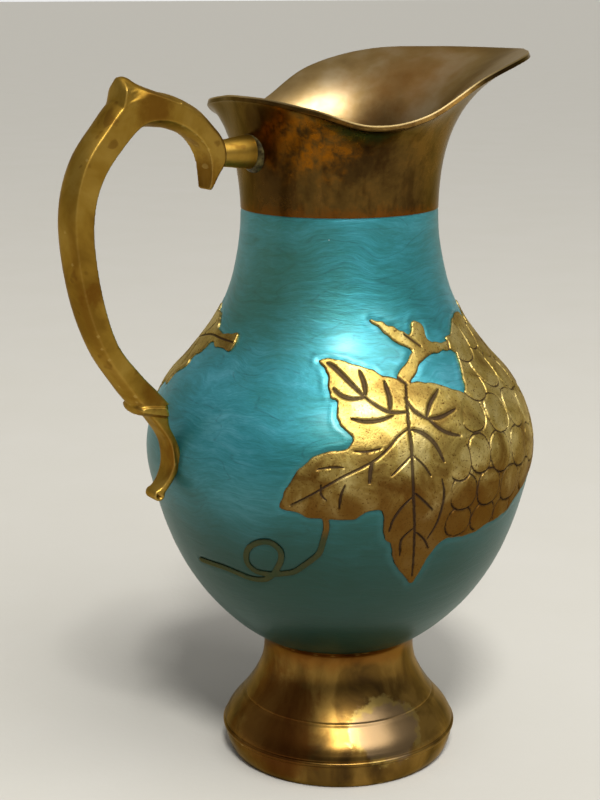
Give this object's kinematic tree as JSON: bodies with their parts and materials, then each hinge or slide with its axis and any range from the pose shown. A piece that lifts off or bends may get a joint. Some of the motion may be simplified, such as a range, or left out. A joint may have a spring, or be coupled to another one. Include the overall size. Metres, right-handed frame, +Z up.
{
  "type": "enamelled brass pitcher",
  "caption": "Footed brass pitcher with an enamelled body, raised grape-vine ornament, wide flared spout and cast scroll handle.",
  "frame": {"origin": "centre of the bounding box on the plane the foot stands on; the vessel's axis is 16.5 mm towards the spout from it", "axes": "+Z up along the vessel's axis, +X from the handle to the spout, +Y to the left when facing the spout's way"},
  "size_m": [0.1938, 0.1482, 0.2702],
  "materials": {
    "relief_brass": "golden brass, finely pitted, dark in the chased lines",
    "enamel": "pearly turquoise enamel with fine brushed swirls",
    "tarnished_brass": "glossy brown tarnish with orange streaks",
    "foot_brass": "polished brown brass with pale and mauve blotches",
    "handle_brass": "satin olive-gold casting with brown tarnish spots",
    "solder": "dull grey-green solder"
  },
  "bodies": {
    "root": {"body_casting": "relief_brass", "enamel_coat": "enamel", "neck_spout": "tarnished_brass", "neck_seam": "solder", "foot_base": "foot_brass", "foot_seam": "solder", "handle_casting": "handle_brass", "handle_post": "handle_brass", "post_fillet": "solder"}
  },
  "joints": []
}
